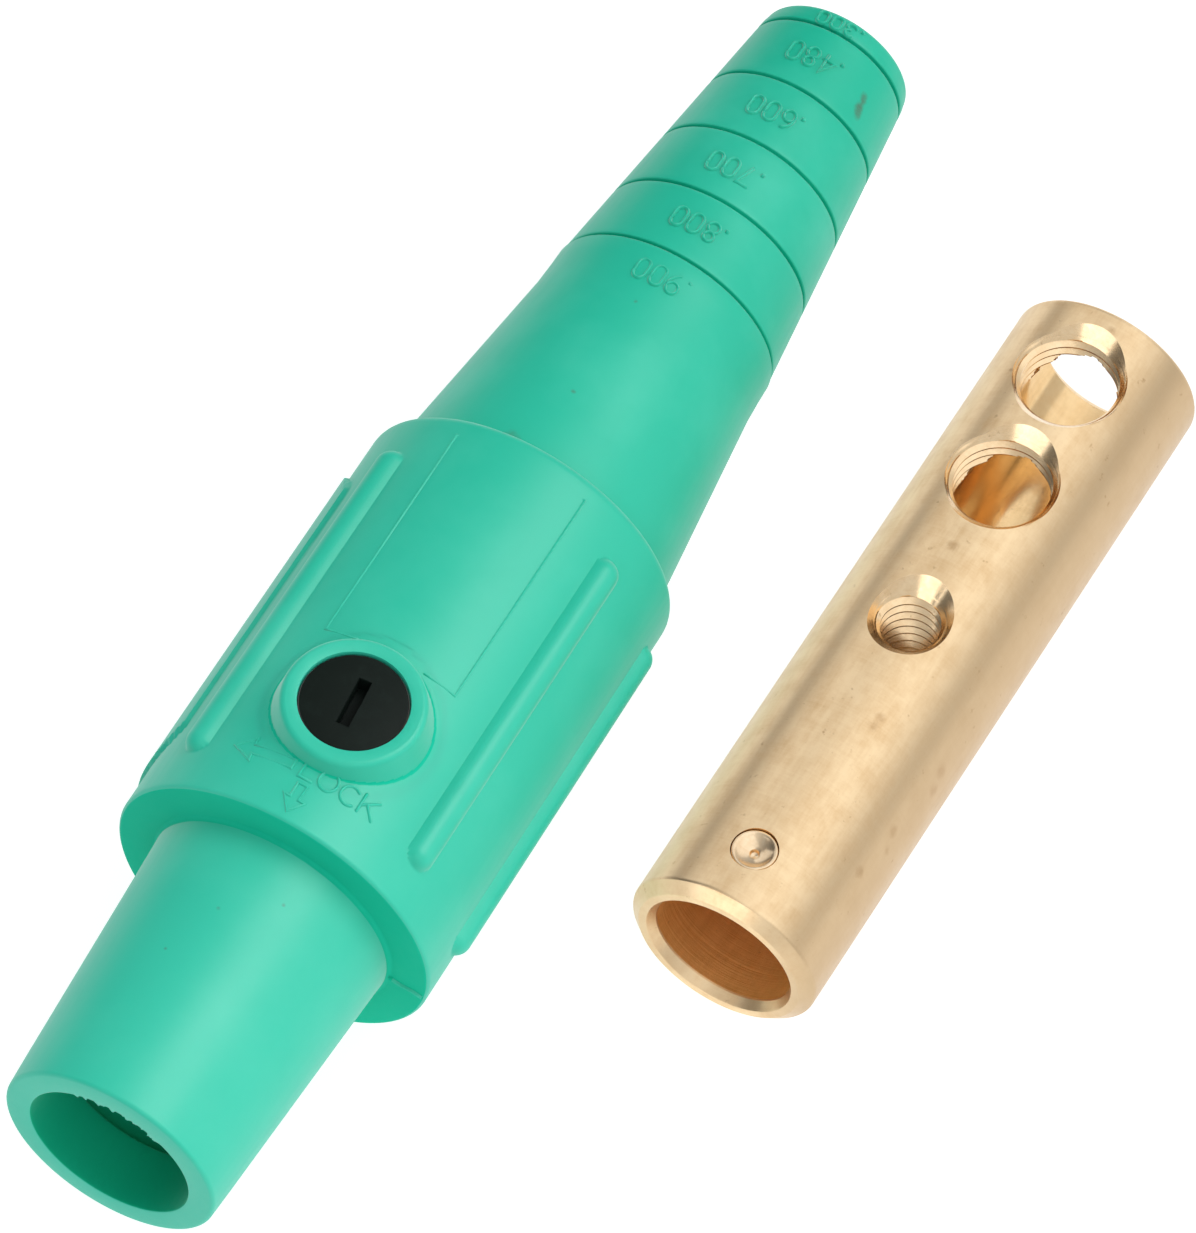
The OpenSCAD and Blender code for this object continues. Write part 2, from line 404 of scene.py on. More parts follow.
def smooth_union(a: np.ndarray, b: np.ndarray, fillet: float) -> np.ndarray:
    """Joins two distance fields with a fillet between them."""
    h = np.clip(0.5 + 0.5 * (b - a) / fillet, 0, 1)
    return b + (a - b) * h - fillet * h * (1 - h)


def rounded_cut(side: np.ndarray, top: np.ndarray, radius: float) -> np.ndarray:
    """Distance to a form bounded by a side and a top, with a rounded edge."""
    s, t = side + radius, top + radius
    return np.hypot(np.maximum(s, 0), np.maximum(t, 0)) + np.minimum(np.maximum(s, t), 0) - radius


def make_piece(name: str, patches: list[Patch], material: bpy.types.Material, crease: float = 32.0,
               place: Matrix | None = None) -> bpy.types.Object:
    """Makes one smooth-shaded object from patches in millimetres.

    Args:
        name: the piece's name.
        patches: its surfaces.
        material: its material.
        crease: angle in degrees above which an edge stays sharp.
        place: matrix in millimetres that lays the piece in the frame.

    Returns:
        The object.
    """
    points: list[np.ndarray] = []
    faces: list[tuple[int, ...]] = []
    count = 0
    for patch in patches:
        points.append(patch.points)
        faces += [tuple(i + count for i in f) for f in patch.faces]
        count += len(patch.points)
    mesh = bpy.data.meshes.new(name)
    mesh.from_pydata(np.concatenate(points).tolist(), [], faces)
    if place is not None:
        mesh.transform(place)
    mesh.transform(Matrix.Scale(MM, 4))
    mesh.validate()
    mesh.shade_smooth()
    mesh.set_sharp_from_angle(angle=math.radians(crease))
    mesh.materials.append(material)
    piece = bpy.data.objects.new(name, mesh)
    bpy.context.scene.collection.objects.link(piece)
    return piece


def attach(piece: bpy.types.Object, body: Body, slot: Slot, *nodes: str) -> None:
    """Lets a piece ride on its body, and stand for CAD nodes if any are named.

    Args:
        piece: the piece.
        body: the body that carries it.
        slot: the record's material slot; here it only picks the lamps that light the piece.
        nodes: CAD nodes that it stands for.
    """
    lit = bpy.data.collections["lit_contact" if slot in (Slot.CONTACT, Slot.PIN) else "lit_sleeve"]
    lit.objects.link(piece)
    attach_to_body(piece, body.value)
    if nodes:
        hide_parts(*nodes)
    log.info("%s: %d faces", piece.name, len(piece.data.polygons))


@dataclass(frozen=True)
class Spot:
    """A mark of dirt at a place, in millimetres."""

    place: tuple[float, float, float]
    size: float
    strength: float


def add_spots(tree: bpy.types.NodeTree, place: Any, colour: Any, spots: tuple[Spot, ...], dirt: str) -> Any:
    """Lays marks of dirt with ragged edges over a colour.

    Args:
        tree: node tree to add to.
        place: output with the object's coordinates.
        colour: output with the clean colour.
        spots: the marks.
        dirt: colour of the dirt.

    Returns:
        Output with the marked colour.
    """
    ragged_mm, edge = 1.1, (0.16, 0.42)
    ragged = noise(tree, place, ragged_mm, 5.0, 0.7)
    for spot in spots:
        centre = tuple(v * MM for v in spot.place)
        gap = add_node(tree, "ShaderNodeVectorMath", {0: place, 1: centre}, operation="DISTANCE").outputs["Value"]
        near = remap(tree, gap, (0.0, spot.size * MM), (1.0, 0.0))
        mask = remap(tree, reckon(tree, "MULTIPLY", near, ragged), edge, (0.0, spot.strength))
        colour = blend(tree, mask, colour, dirt)
    return colour


@dataclass(frozen=True)
class Elastomer:
    """Injection-moulded TPE, matt-eroded mould: a soft, broad sheen over a deep, clean colour."""

    name: str = "tpe_moulded_mint"
    front: str = "2ec0a4"
    rear: str = "04ae8f"
    pale: str = "48c8ad"
    dirt: str = "4a4630"
    roughness: float = 0.42
    gloss: float = 0.38
    grain_mm: float = 0.22
    cloud_mm: float = 16.0
    streak_mm: float = 0.8
    wave_mm: float = 5.0
    spots: tuple[Spot, ...] = ()

    def build(self) -> bpy.types.Material:
        """Makes the material."""
        material, tree, place = new_material(self.name)
        # The colour is painted darker toward the cable end: painted shade standing in for the light falling off along
        # the sleeve
        along = add_node(tree, "ShaderNodeSeparateXYZ", {0: place}).outputs["X"]
        colour = blend(tree, remap(tree, along, (10.0 * MM, 150.0 * MM)), self.front, self.rear)
        # Faint paler clouds lie at random over the skin
        film = remap(tree, noise(tree, place, self.cloud_mm, 4.0, 0.6), (0.46, 0.72), (0.0, 0.35))
        colour = blend(tree, film, colour, self.pale)
        colour = add_spots(tree, place, colour, self.spots, self.dirt)
        streak = noise(tree, mapped(tree, place, Scale=(0.06, 1.0, 1.0)), self.streak_mm, 3.0)
        rough = remap(tree, streak, (0.3, 0.7), (self.roughness - 0.02, self.roughness + 0.03))
        fine = add_bump(tree, noise(tree, place, self.grain_mm), 0.12, 0.05)
        bump = add_bump(tree, noise(tree, place, self.wave_mm), 0.2, 0.06, Normal=fine)
        add_surface(tree, {
            "Base Color": colour, "Roughness": rough, "Normal": bump, "IOR": 1.5, "Specular IOR Level": self.gloss,
            "Subsurface Weight": 0.12, "Subsurface Radius": (0.1, 1.0, 0.7), "Subsurface Scale": 0.9 * MM})
        return material


@dataclass(frozen=True)
class Nylon:
    """Black glass-filled nylon, moulded: dull, faintly mottled, grey where a driver has slipped."""

    name: str = "nylon_moulded_black"
    body: str = "0c1612"
    scuffed: str = "15211d"
    roughness: float = 0.5
    grain_mm: float = 0.18
    cloud_mm: float = 2.2

    def build(self) -> bpy.types.Material:
        """Makes the material."""
        material, tree, place = new_material(self.name)
        cloud = noise(tree, place, self.cloud_mm, 6.0, 0.7)
        colour = blend(tree, remap(tree, cloud, (0.5, 0.8), (0.0, 0.7)), self.body, self.scuffed)
        rough = remap(tree, cloud, UNIT, (self.roughness - 0.08, self.roughness + 0.12))
        bump = add_bump(tree, noise(tree, place, self.grain_mm), 0.2, 0.04)
        add_surface(tree, {
            "Base Color": colour, "Roughness": rough, "Normal": bump, "IOR": 1.5, "Specular IOR Level": 0.12})
        return material


@dataclass(frozen=True)
class Brass:
    """Free-cutting brass bar, turned and drilled: satin, pale gold, with fine tool rings and light tarnish."""

    name: str = "brass_turned"
    clean: str = "f7dbb0"
    tarnish: str = "dbb481"
    stain: str = "9a6c3e"
    roughness: float = 0.36
    # A turned bar has rings every 0.1 mm, drawn three times as coarse so that they show
    ring_mm: float = 0.3
    ring_depth_mm: float = 0.009
    cloud_mm: float = 3.2
    wipe_mm: float = 0.7
    blot_mm: float = 1.3
    # Below one where an oxide film covers the metal
    bare: float = 1.0
    yaw: float = 0.0
    # Painted shade darkens the outer side and, less, the side toward the sleeve, from one distance across the bar to
    # the other, in millimetres
    shaded_side: tuple[float, float] = (-45.5, -51.5)
    shaded_far_side: tuple[float, float] = (-38.0, -31.5)
    side_shade_tone: str = "cbb08b"
    spots: tuple[Spot, ...] = ()

    def build(self) -> bpy.types.Material:
        """Makes the material."""
        material, tree, place = new_material(self.name)
        lined = mapped(tree, place, Rotation=(0.0, 0.0, -math.radians(self.yaw)))
        rings = noise(tree, mapped(tree, lined, Scale=(1.0, 0.02, 0.02)), self.ring_mm, 5.0, 0.75)
        # Handling leaves faint wipes along the bar between the fine rings
        wipes = noise(tree, mapped(tree, lined, Scale=(0.08, 1.0, 1.0)), self.wipe_mm, 4.0, 0.7)
        cloud = noise(tree, lined, self.cloud_mm, 8.0, 0.7)
        both = reckon(tree, "MULTIPLY_ADD", rings, 0.3, reckon(tree, "MULTIPLY_ADD", wipes, 0.45, cloud))
        colour = blend(tree, remap(tree, both, (0.75, 1.4)), self.clean, self.tarnish)
        across = add_node(tree, "ShaderNodeSeparateXYZ", {0: place}).outputs["Y"]
        outer, inner = (
            remap(tree, across, (start * MM, end * MM), (0.0, share))
            for (start, end), share in ((self.shaded_side, 0.9), (self.shaded_far_side, 0.55)))
        # Painted shade: the bar's two sides are blended toward a darker tone
        colour = blend(tree, reckon(tree, "ADD", outer, inner), colour, self.side_shade_tone)
        speck = remap(tree, noise(tree, lined, self.blot_mm, 3.0, 0.6), (0.67, 0.78), (0.0, 0.55))
        colour = blend(tree, speck, colour, self.stain)
        colour = add_spots(tree, place, colour, self.spots, self.stain)
        rough = remap(tree, both, (0.7, 1.1), (self.roughness - 0.04, self.roughness + 0.06))
        bump = add_bump(tree, rings, 0.6, self.ring_depth_mm)
        add_surface(tree, {"Base Color": colour, "Metallic": self.bare, "Roughness": rough, "Normal": bump})
        return material


@dataclass(frozen=True)
class OpalAcrylic:
    """Opal acrylic of a shooting table, matt and lit from below, so that shadows on it stay faint."""

    name: str = "acrylic_opal"
    body: str = "b4b4b4"
    glow: float = 0.86
    frost_mm: float = 2.0

    def build(self) -> bpy.types.Material:
        """Makes the material."""
        material, tree, place = new_material(self.name)
        rough = remap(tree, noise(tree, place, self.frost_mm, 4.0), UNIT, (0.82, 0.95))
        add_surface(tree, {
            "Base Color": linear(self.body), "Roughness": rough, "Specular IOR Level": 0.2,
            "Emission Color": linear("ffffff"), "Emission Strength": self.glow})
        return material


@dataclass(frozen=True)
class SoftBox:
    """A soft box: the way to it from the parts, its distance, width and height in metres, and its watts."""

    name: str
    way: tuple[float, float, float]
    far: float
    wide: float
    high: float
    watts: float
    lit: str
    # Point that it faces, in millimetres, or None for the camera's target
    faces: tuple[float, float, float] | None = None
    glossy: bool = True
    diffuse: bool = True


KEY_WAY = (0.28, -0.4, 0.88)
SOFT_BOXES = (
    SoftBox("key_sleeve", KEY_WAY, 0.6, 0.42, 0.36, 1.58, "sleeve"),
    SoftBox("sheen_sleeve", KEY_WAY, 0.6, 0.42, 0.36, 1.5, "sleeve", diffuse=False),
    SoftBox("front_sleeve", (-0.62, -0.35, 0.7), 0.28, 0.2, 0.2, 0.11, "sleeve", faces=(20.0, 0.0, 10.0)),
    SoftBox("key_contact", (0.3, -0.3, 0.9), 0.6, 1.0, 1.0, 1.15, "contact"),
    SoftBox("panel_contact", (0.47, 0.7, 0.54), 0.6, 0.6, 0.4, 0.48, "contact"),
    SoftBox("front_contact", (-0.82, 0.3, 0.38), 0.6, 0.6, 0.4, 1.0, "contact"),
    SoftBox("fill_sleeve", (0.1, 0.75, 0.65), 0.6, 0.5, 0.5, 0.85, "sleeve", glossy=False),
    SoftBox("side", (0.1, -0.93, 0.36), 0.7, 0.6, 0.3, 0.6, "sleeve"),
)


@dataclass
class Studio:
    """White table, soft light from above and the photograph's camera."""

    azimuth: float = 68.206
    elevation: float = 58.939
    roll: float = -8.301
    distance: float = 1030.0
    focal_px: float = 9642.0
    long_side_px: float = 1233.0
    sensor: float = 36.0
    target: tuple[float, float, float] = (82.632, -12.057, 0.033)
    table_z: float = -20.04
    tent_low: float = 0.62
    tent_high: float = 0.84
    tent_far: float = 0.2
    parts: dict[str, bpy.types.Collection] = field(default_factory=dict)

    def axes(self) -> tuple[Vector, Vector, Vector]:
        """Directions right, up and back of the camera in the frame."""
        ca, sa = math.cos(math.radians(self.azimuth)), math.sin(math.radians(self.azimuth))
        ce, se = math.cos(math.radians(self.elevation)), math.sin(math.radians(self.elevation))
        cr, sr = math.cos(math.radians(self.roll)), math.sin(math.radians(self.roll))
        right, up = Vector((ca, -sa, 0.0)), Vector((sa * se, ca * se, ce))
        back = Vector((-sa * ce, -ca * ce, se))
        return cr * right - sr * up, sr * right + cr * up, back

    def build_camera(self) -> None:
        """Sets the scene's camera to the photograph's view."""
        right, up, back = self.axes()
        data = bpy.data.cameras.new("camera")
        data.sensor_width = self.sensor
        data.lens = self.focal_px * self.sensor / self.long_side_px
        data.clip_start, data.clip_end = 0.01, 10.0
        camera = bpy.data.objects.new("camera", data)
        turn = Matrix((right, up, back)).transposed().to_4x4()
        spot = (Vector(self.target) + self.distance * back) * MM
        camera.matrix_world = Matrix.Translation(spot) @ turn
        bpy.context.scene.collection.objects.link(camera)
        bpy.context.scene.camera = camera

    def build_light(self, box: SoftBox) -> None:
        """Hangs one soft box.

        Args:
            box: the soft box.
        """
        data = bpy.data.lights.new(box.name, "AREA")
        data.shape, data.size, data.size_y, data.energy = "RECTANGLE", box.wide, box.high, box.watts
        lamp = bpy.data.objects.new(box.name, data)
        lamp.light_linking.receiver_collection = self.parts[box.lit]
        lamp.visible_glossy, lamp.visible_diffuse = box.glossy, box.diffuse
        way = Vector(box.way).normalized()
        lamp.location = Vector(box.faces or self.target) * MM + way * box.far
        lamp.rotation_euler = way.to_track_quat("Z", "Y").to_euler()
        bpy.context.scene.collection.objects.link(lamp)

    def build_surroundings(self) -> bpy.types.World:
        """Makes the light tent: white all round, a little brighter overhead."""
        world = bpy.data.worlds.new("surroundings")
        tree = empty_tree(world)
        way = add_node(tree, "ShaderNodeTexCoord").outputs["Generated"]
        parts = add_node(tree, "ShaderNodeSeparateXYZ", {0: way}).outputs
        height = remap(tree, parts["Z"], (-0.2, 1.0), (self.tent_low, self.tent_high))
        # The tent is dimmer on the sleeve's far side, where the photograph has no lamp
        away = remap(tree, parts["Y"], (-0.2, 0.9), (1.0, self.tent_far))
        level = reckon(tree, "MULTIPLY", height, away)
        glow = add_node(tree, "ShaderNodeBackground", {"Color": linear("fbfbfb"), "Strength": level})
        add_node(tree, "ShaderNodeOutputWorld", {"Surface": glow.outputs[0]})
        return world

    def build(self) -> None:
        """Builds the camera, the lights, the surroundings and the table."""
        self.build_camera()
        for name in ("sleeve", "contact"):
            self.parts[name] = bpy.data.collections.new("lit_" + name)
        for box in SOFT_BOXES:
            self.build_light(box)
        bpy.context.scene.world = self.build_surroundings()
        bpy.context.scene.view_settings.view_transform = "Standard"
        mesh = bpy.data.meshes.new("table")
        half = 1.5
        z = self.table_z * MM
        mesh.from_pydata([(-half, -half, z), (half, -half, z), (half, half, z), (-half, half, z)], [], [(0, 1, 2, 3)])
        mesh.materials.append(OpalAcrylic().build())
        table = bpy.data.objects.new("table", mesh)
        bpy.context.scene.collection.objects.link(table)


# Signs in a cell one unit wide and two high, as a mould engraver's cutter draws them
SIGNS: dict[str, list[Outline]] = {
    "0": [bow(0.5, 1.45, 0.5, 0.55, 0, 180) + bow(0.5, 0.55, 0.5, 0.55, 180, 360) + [(1.0, 1.45)]],
    "3": [bow(0.5, 1.5, 0.46, 0.5, 150, -80), bow(0.5, 0.52, 0.5, 0.52, 85, -150)],
    "4": [[(0.78, 0.0), (0.78, 2.0), (0.0, 0.6), (1.0, 0.6)]],
    "6": [bow(0.5, 0.58, 0.5, 0.58, 0, 360), bow(0.95, 0.75, 0.95, 1.25, 180, 105, 8)],
    "7": [[(0.0, 2.0), (1.0, 2.0), (0.35, 0.0)]],
    "8": [bow(0.5, 0.53, 0.5, 0.53, 0, 360), bow(0.5, 1.52, 0.42, 0.47, 0, 360)],
    "9": [bow(0.5, 1.42, 0.5, 0.58, 0, 360), bow(0.05, 1.25, 0.95, 1.25, 0, -75, 8)],
    ".": [bow(0.5, 0.12, 0.06, 0.06, 0, 360, 6)],
    "L": [[(0.0, 2.0), (0.0, 0.0), (0.95, 0.0)]],
    "O": [bow(0.55, 1.0, 0.62, 1.0, 0, 360, 24)],
    "C": [bow(0.6, 1.0, 0.62, 1.0, 48, 312, 20)],
    "K": [[(0.0, 2.0), (0.0, 0.0)], [(1.0, 2.0), (0.02, 0.75)], [(0.35, 1.15), (1.05, 0.0)]],
}


@dataclass
class Sleeve:
    """The moulded sleeve: nose, ribbed body, screw boss and ringed cable cone."""

    length: float = 159.4
    mouth_r: float = 9.4
    lip: float = 7.2
    chamber_r: float = 11.2
    chamber_end: float = 94.4
    nose_tip_r: float = 12.45
    nose_root_r: float = 14.0
    nose_len: float = 33.8
    front_r: float = 18.75
    rear_r: float = 18.55
    body_end: float = 87.6
    rib_w: float = 3.5
    rib_h: float = 1.3
    rib_start: float = 38.7
    rib_len: float = 43.2
    rib_turns: tuple[int, ...] = (-3, -1, 1, 2, 3, 4, -4)
    panel_turn: float = -90.0
    panel_h: float = 0.5
    panel_w: float = 19.6
    panel_bow: float = 12.5
    screw_x: float = 48.9
    boss_r: float = 7.65
    boss_h: float = 2.05
    boss_draft: float = 0.5
    head_bore_r: float = 5.95
    shank_bore_r: float = 4.12
    head_seat: float = 14.494
    cone_r: float = 16.6
    bead_r: float = 13.55
    ring_r: float = 13.35
    tip_r: float = 9.0
    ring_start: float = 119.4
    ring_pitch: float = 9.3
    rings: int = 5
    bores: tuple[float, ...] = (11.43, 10.16, 8.89, 7.62, 6.096, 3.81)
    patch_r: float = 10.0
    facets: int = 384
    mark_w: float = 0.42
    mark_h: float = 0.3
    parting_turn: float = 97.0

    def body_radius(self, x: Any) -> Any:
        """Radius of the plain body at distance x."""
        return self.front_r + (self.rear_r - self.front_r) * (x - self.nose_len) / (self.body_end - self.nose_len)

    def taper(self, x: float) -> float:
        """Radius of the ringed cone at distance x."""
        return self.ring_r + (self.tip_r - self.ring_r) * (x - self.ring_start) / (self.length - self.ring_start)

    @property
    def boss_top(self) -> float:
        """Height of the boss's top."""
        return self.body_radius(self.screw_x) + self.boss_h

    def beside_screw(self, points: np.ndarray, radius: float) -> np.ndarray:
        """Tells which points lie outside a radius round the screw, or below the sleeve's axis.

        Args:
            points: points, with three coordinates last.
            radius: the radius.

        Returns:
            One truth value per point.
        """
        return (np.hypot(points[..., 0] - self.screw_x, points[..., 1]) > radius) | (points[..., 2] < 0)

    def skin(self, p: np.ndarray, boss: bool) -> np.ndarray:
        """Distance from points to the body's skin with its raised forms.

        Args:
            p: points, with three coordinates last.
            boss: whether the screw boss is part of the form.

        Returns:
            One distance per point, positive outside.
        """
        x, y, z = p[..., 0], p[..., 1], p[..., 2]
        r, turn = np.hypot(y, z), np.arctan2(-y, z)
        base = self.body_radius(x)
        gap = r - base
        bar = (self.rib_w**2 / 4 + self.rib_h**2) / (2 * self.rib_h)
        step = np.radians(45)
        k = np.round(turn / step)
        off = turn - k * step
        axis = self.body_radius(x) + self.rib_h - bar
        nearest = np.clip(x, self.rib_start + bar, self.rib_start + self.rib_len - bar)
        rib = np.sqrt((x - nearest) ** 2 + (r * np.sin(off)) ** 2 + (r * np.cos(off) - axis) ** 2) - bar
        rib = np.where(np.isin(k, self.rib_turns), rib, 9.0)
        gap = smooth_union(gap, rib, 0.16)
        lateral = (turn - np.radians(self.panel_turn)) * r
        middle = self.rib_start + self.rib_len / 2
        square = np.maximum(np.abs(x - middle) - self.rib_len / 2, np.abs(lateral) - self.panel_w / 2)
        reach = self.rib_len / 2 - self.panel_bow
        slot = np.hypot(np.maximum(np.abs(x - middle) - reach, 0), lateral) - self.panel_bow
        panel = rounded_cut(np.maximum(square, slot), r - base - self.panel_h, 0.15)
        gap = smooth_union(gap, panel, 0.12)
        if boss:
            slope = self.boss_draft / self.boss_h
            side = (np.hypot(x - self.screw_x, y) - self.boss_r - slope * (self.boss_top - z)) * math.cos(math.atan(slope))
            gap = smooth_union(gap, rounded_cut(side, z - self.boss_top, 0.55), 0.3)
        return gap

    def march(self, start: np.ndarray, way: np.ndarray, boss: bool) -> np.ndarray:
        """Follows rays from start along way until they meet the skin."""
        go = np.zeros(start.shape[:-1])
        for _ in range(40):
            go += 0.85 * self.skin(start + go[..., None] * way, boss)
        return start + go[..., None] * way

    def body_patch(self) -> Patch:
        """The body from the collar's face to its rear face, open under the boss."""
        # Rows stand closer where the ribs begin and end
        coarse, fine, first_x = 0.6, 0.15, 34.7
        lines = np.unique(np.round(np.concatenate([
            np.arange(35.2, 86.0, coarse), np.arange(38.1, 41.2, fine), np.arange(79.4, 82.4, fine)]), 3))
        outline = [(self.nose_len, self.nose_root_r + v) for v in (0.5, 0.8, 2.0, 3.5)]
        outline += [(self.nose_len, self.front_r - 0.75)]
        outline += arc((self.nose_len + 0.5, self.front_r - 0.5), 0.5, 180, 90, 7)
        outline += [(first_x, self.body_radius(first_x))]
        first = len(outline)
        outline += [(x, self.body_radius(x)) for x in lines]
        rows = slice(first, len(outline))
        outline += arc((self.body_end - 1.2, self.rear_r - 1.2), 1.2, 90, 0, 8) + [(self.body_end, self.cone_r - 0.6)]
        a = np.array(outline)
        t = np.linspace(-np.pi, np.pi, self.facets, endpoint=False)
        points = about_x(a[:, :1], a[:, 1:], t)
        # Rays run inward from well outside the highest form
        inward, outside = about_x(0.0, -1.0, t), 3.0
        points[rows] = self.march(points[rows] - inward * outside, inward, False)
        return Patch.grid(points, flip=True, keep=self.beside_screw(points, self.patch_r - 0.75))

    def boss_patch(self) -> Patch:
        """The boss with its foot and the body round it, down into the screw's bore."""
        edge, fine = 0.06, 0.06
        radii = np.concatenate([
            [self.patch_r, 9.6, 9.3], np.arange(9.1, 7.0, -fine), [6.85, self.head_bore_r + edge]])
        t = np.linspace(0, 2 * np.pi, 240, endpoint=False)
        start = about_z(self.boss_top + 1.0, radii[:, None], t, self.screw_x)
        points = self.march(start, np.array([0.0, 0.0, -1.0]), True)
        # The outermost rows dip under the body's skin, which meets them there
        points[:4, :, 2] -= np.array([[0.03], [0.03], [0.02], [0.01]])
        well = [
            (self.boss_top - edge * 0.3, self.head_bore_r + edge * 0.3), (self.boss_top - edge, self.head_bore_r),
            (self.head_seat, self.head_bore_r), (self.head_seat, self.shank_bore_r),
            (self.chamber_r * 0.93, self.shank_bore_r)]
        rows = [about_z(z, r, t, self.screw_x) for z, r in well]
        return Patch.grid(np.concatenate([points, np.array(rows)]))

    def nose_outline(self) -> Outline:
        """Outline of the nose from the lip's inner end round its front to the collar."""
        flare = (self.nose_root_r - self.nose_tip_r) / self.nose_len
        return (
            [(self.lip, self.chamber_r), (self.lip, self.mouth_r + 0.15)]
            + arc((self.lip - 0.15, self.mouth_r + 0.15), 0.15, 0, -90, 3)
            + [(x, self.mouth_r) for x in (6.0, 3.0, 1.0)]
            + arc((0.2, self.mouth_r + 0.2), 0.2, 270, 180, 4)
            + arc((0.5, self.nose_tip_r - 0.5), 0.5, 180, 90, 6)
            + [(x, self.nose_tip_r + flare * x) for x in (4.0, 12.0, 20.0, 28.0)]
            + [(32.0, self.nose_root_r - 0.08)] + arc((self.nose_len - 0.5, self.nose_root_r + 0.5), 0.5, 270, 360, 7)
        )

    def cone_outline(self) -> Outline:
        """Outline of the cable cone with its cutting rings and its end."""
        smooth_end, half = 114.0, 0.42
        out: Outline = [(self.body_end - 0.5, self.cone_r + 0.05), (self.body_end, self.cone_r)]
        fall = self.bead_r + 0.15 - self.cone_r
        out += [
            (x, self.cone_r + fall * (x - self.body_end) / (smooth_end - self.body_end))
            for x in (92.0, 98.0, 104.0, 110.0, smooth_end)]
        out += [(self.ring_start - 2.4, self.bead_r)]
        for i in range(self.rings):
            x = self.ring_start + i * self.ring_pitch
            near = self.bead_r - 0.05 if i == 0 else self.taper(x - half)
            mid = self.taper(x)
            out += [
                (x - half, near), (x - 0.32, near - 0.03), (x - 0.24, near - 0.12), (x - 0.1, mid - 0.5),
                (x + 0.1, mid - 0.5), (x + 0.24, mid - 0.14), (x + 0.32, mid - 0.05), (x + half, self.taper(x + half))]
            end = x + self.ring_pitch if i < self.rings - 1 else self.length - 0.9
            out += [(v, self.taper(v)) for v in (np.linspace(x + 1.0, end - 1.0, 4) if end - x > 3 else [x + 1.2])]
        out += arc((self.length - 0.9, self.tip_r - 0.9), 0.9, 90, 0, 7)
        out += [(self.length, self.bores[-1] + 0.3)] + arc((self.length - 0.3, self.bores[-1] + 0.3), 0.3, 0, -90, 3)
        return out

    def bore_outline(self) -> Outline:
        """Outline of the hollow, from the contact's chamber to the cable end."""
        out: Outline = [
            (self.lip, self.chamber_r), (self.chamber_end, self.chamber_r), (self.chamber_end + 0.8, self.bores[0])]
        for i in range(self.rings):
            x = self.ring_start + i * self.ring_pitch
            out += [(x - 0.8, self.bores[i]), (x + 0.8, self.bores[i + 1])]
        return out + [(self.length - 0.3, self.bores[-1])]

    def bore_patch(self) -> Patch:
        """The hollow, with an opening for the retaining screw."""
        # Rows stand closer where the opening is cut
        fine = np.concatenate([
            np.linspace(self.lip, 43.0, 4), np.arange(43.5, 54.6, 0.5), np.linspace(56.0, self.chamber_end, 4)])
        b = np.array([(x, self.chamber_r) for x in fine] + self.bore_outline()[2:])
        t = np.linspace(0, 2 * np.pi, 160, endpoint=False)
        points = about_x(b[:, :1], b[:, 1:], t)
        return Patch.grid(points, keep=self.beside_screw(points, self.shank_bore_r - 0.1))

    def radius_at(self, x: float) -> float:
        """Outer radius of the plain sleeve at distance x, where marks stand."""
        if x < self.body_end:
            return self.body_radius(x)
        if x < self.ring_start:
            share = (x - self.body_end) / (self.ring_start - 5.0 - self.body_end)
            return self.cone_r + (self.bead_r + 0.1 - self.cone_r) * share
        return self.taper(x)

    def ridge(self, line: Outline, wide: float, high: float, loop: bool = False) -> Patch:
        """Raises a rounded ridge along a line on the sleeve's surface.

        Args:
            line: points as (distance along X, arc length from the top toward the contact).
            wide: width of the ridge.
            high: height of the ridge.
            loop: whether the line closes on itself.

        Returns:
            The ridge.
        """
        p = np.array(line)
        ahead, behind = np.roll(p, -1, axis=0), np.roll(p, 1, axis=0)
        if not loop:
            ahead[-1], behind[0] = p[-1], p[0]
        a, b = ahead - p, p - behind
        a /= np.maximum(np.linalg.norm(a, axis=1, keepdims=True), 1e-9)
        b /= np.maximum(np.linalg.norm(b, axis=1, keepdims=True), 1e-9)
        run = a + b
        run /= np.maximum(np.linalg.norm(run, axis=1, keepdims=True), 1e-9)
        side = np.stack([-run[:, 1], run[:, 0]], axis=1)
        bent = (np.linalg.norm(a, axis=1) > 0.5) & (np.linalg.norm(b, axis=1) > 0.5)
        open_turn = np.where(bent, np.abs((a * run).sum(axis=1)), 1.0)
        side /= np.maximum(open_turn, 0.5)[:, None]
        across = np.array([-0.5, -0.36, -0.18, 0.0, 0.18, 0.36, 0.5]) * wide
        rise = np.array([-0.25, 0.45, 0.88, 1.0, 0.88, 0.45, -0.25]) * high
        if not loop:
            tail = run[[0, -1]] * wide * 0.45 * np.array([[-1], [1]])
            p = np.concatenate([p[:1] + tail[:1], p, p[-1:] + tail[1:]])
            side = np.concatenate([side[:1] * 0.3, side, side[-1:] * 0.3])
        flat = p[:, None, :] + side[:, None, :] * across[None, :, None]
        lift = np.broadcast_to(rise, flat.shape[:2]).copy()
        if not loop:
            lift[[0, -1]] = -0.25 * high
        base = np.vectorize(self.radius_at)(flat[..., 0])
        turn = flat[..., 1] / np.vectorize(self.radius_at)(p[:, 0])[:, None]
        points = about_x(flat[..., 0], base + lift, turn)
        if loop:
            points = np.concatenate([points, points[:1]])
        return Patch.grid(points, closed=False)

